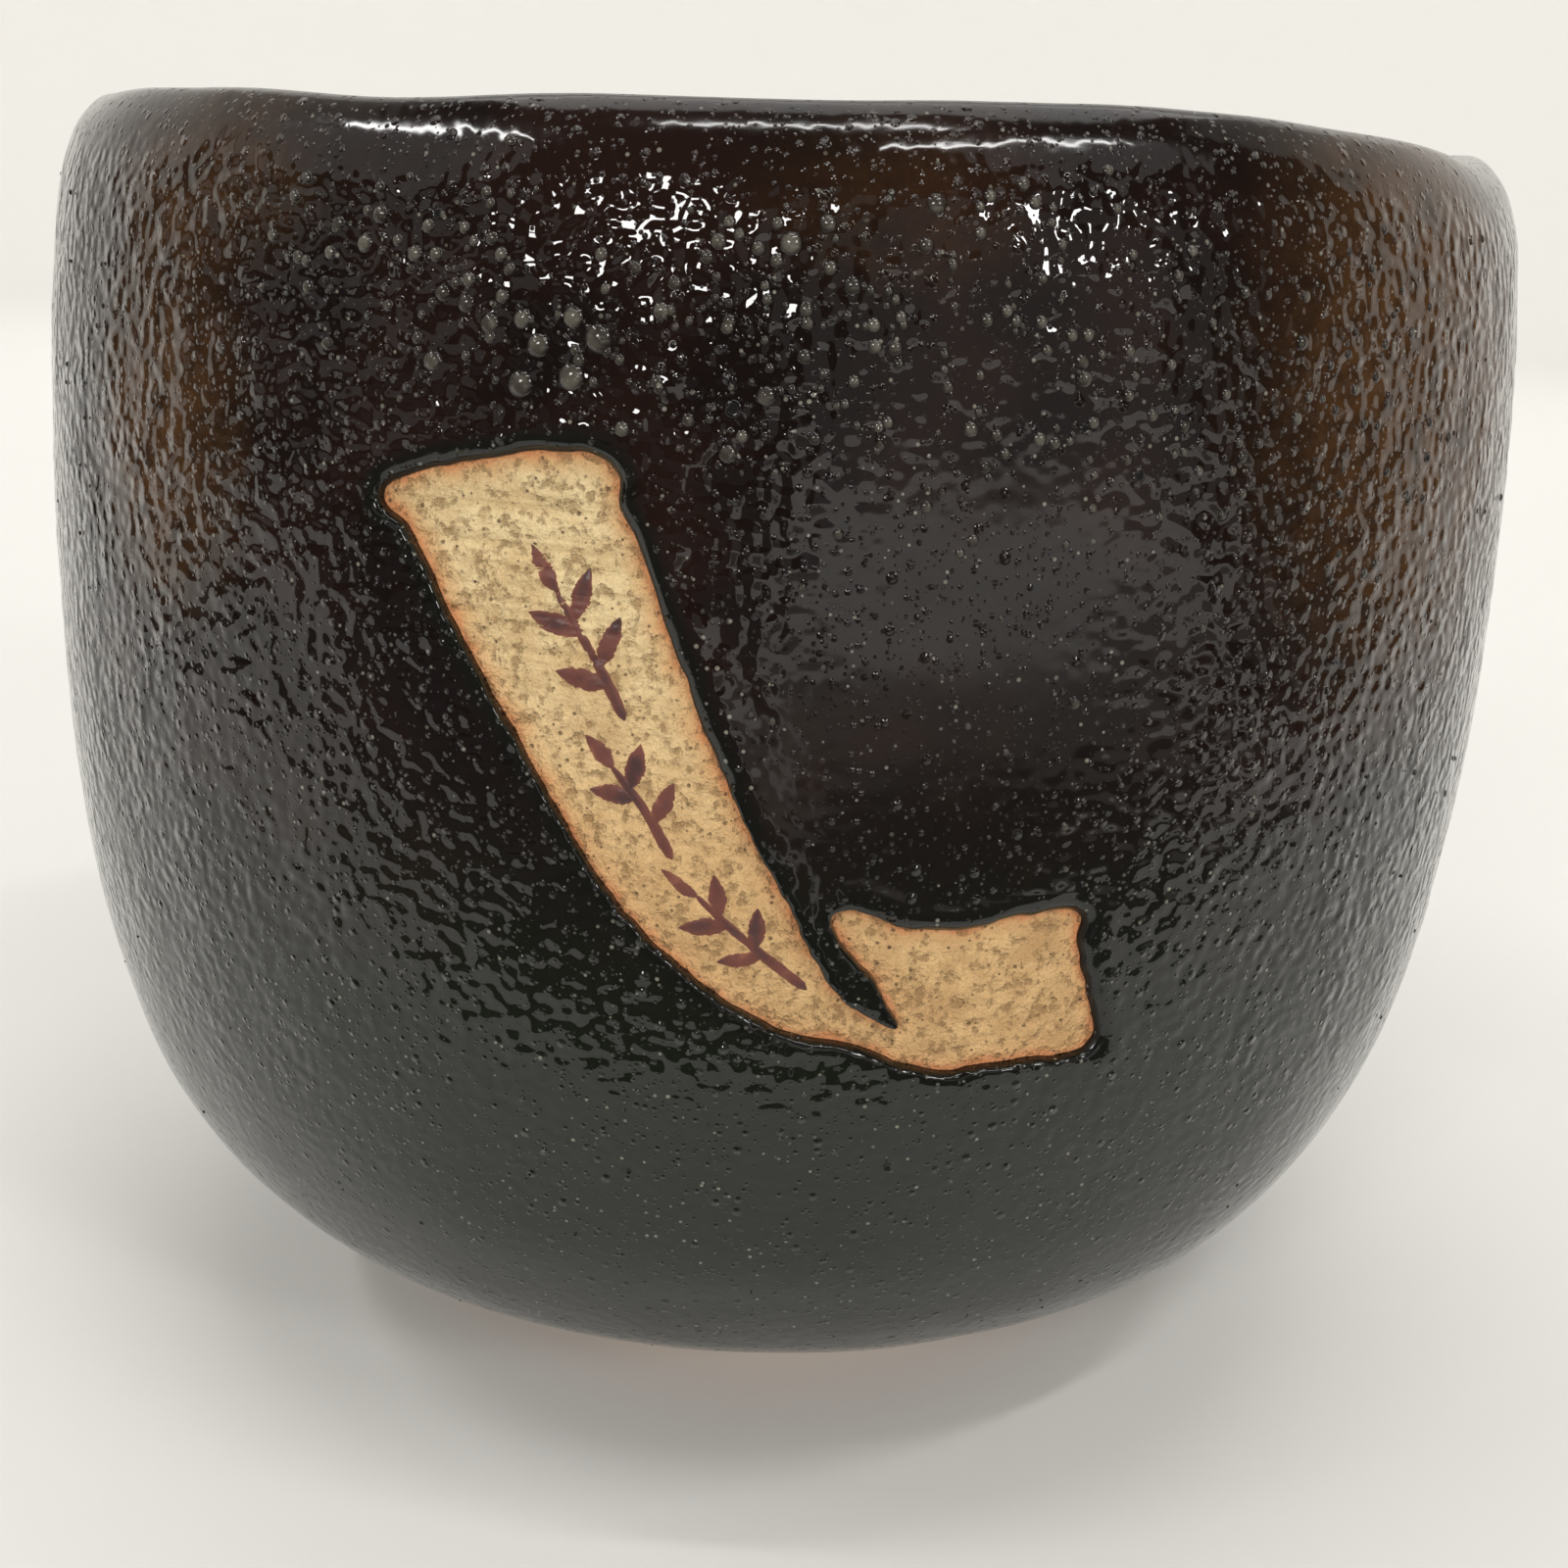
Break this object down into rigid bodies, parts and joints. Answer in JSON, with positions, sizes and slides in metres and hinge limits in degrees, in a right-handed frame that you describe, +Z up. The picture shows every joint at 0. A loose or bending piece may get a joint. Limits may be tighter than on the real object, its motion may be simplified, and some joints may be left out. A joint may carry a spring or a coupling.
{
  "type": "matcha bowl",
  "caption": "Hand-formed tea bowl with a black glaze, a bare ribbon-shaped window with brushed sprigs, a rounded lip and a carved foot.",
  "frame": {"origin": "centre of the bowl's outline on the plane that the foot stands on", "axes": "+Z up through the mouth; the bare window in the glaze faces -Y; +X to the right of someone who looks at the window"},
  "size_m": [0.1082, 0.1078, 0.0907],
  "materials": {
    "bare_clay": "bare biscuit clay, fine sandy grain, orange flashing near the glaze",
    "black_glaze": "glossy black glaze with fine bubbles and pinholes",
    "iron_pigment": "red-brown iron pigment brushed on the clay, half matt"
  },
  "bodies": {
    "root": {"clay_body": "bare_clay", "foot_ring": "bare_clay", "outer_glaze": "black_glaze", "inner_glaze": "black_glaze", "sprig_upper": "iron_pigment", "sprig_middle": "iron_pigment", "sprig_lower": "iron_pigment"}
  },
  "joints": []
}
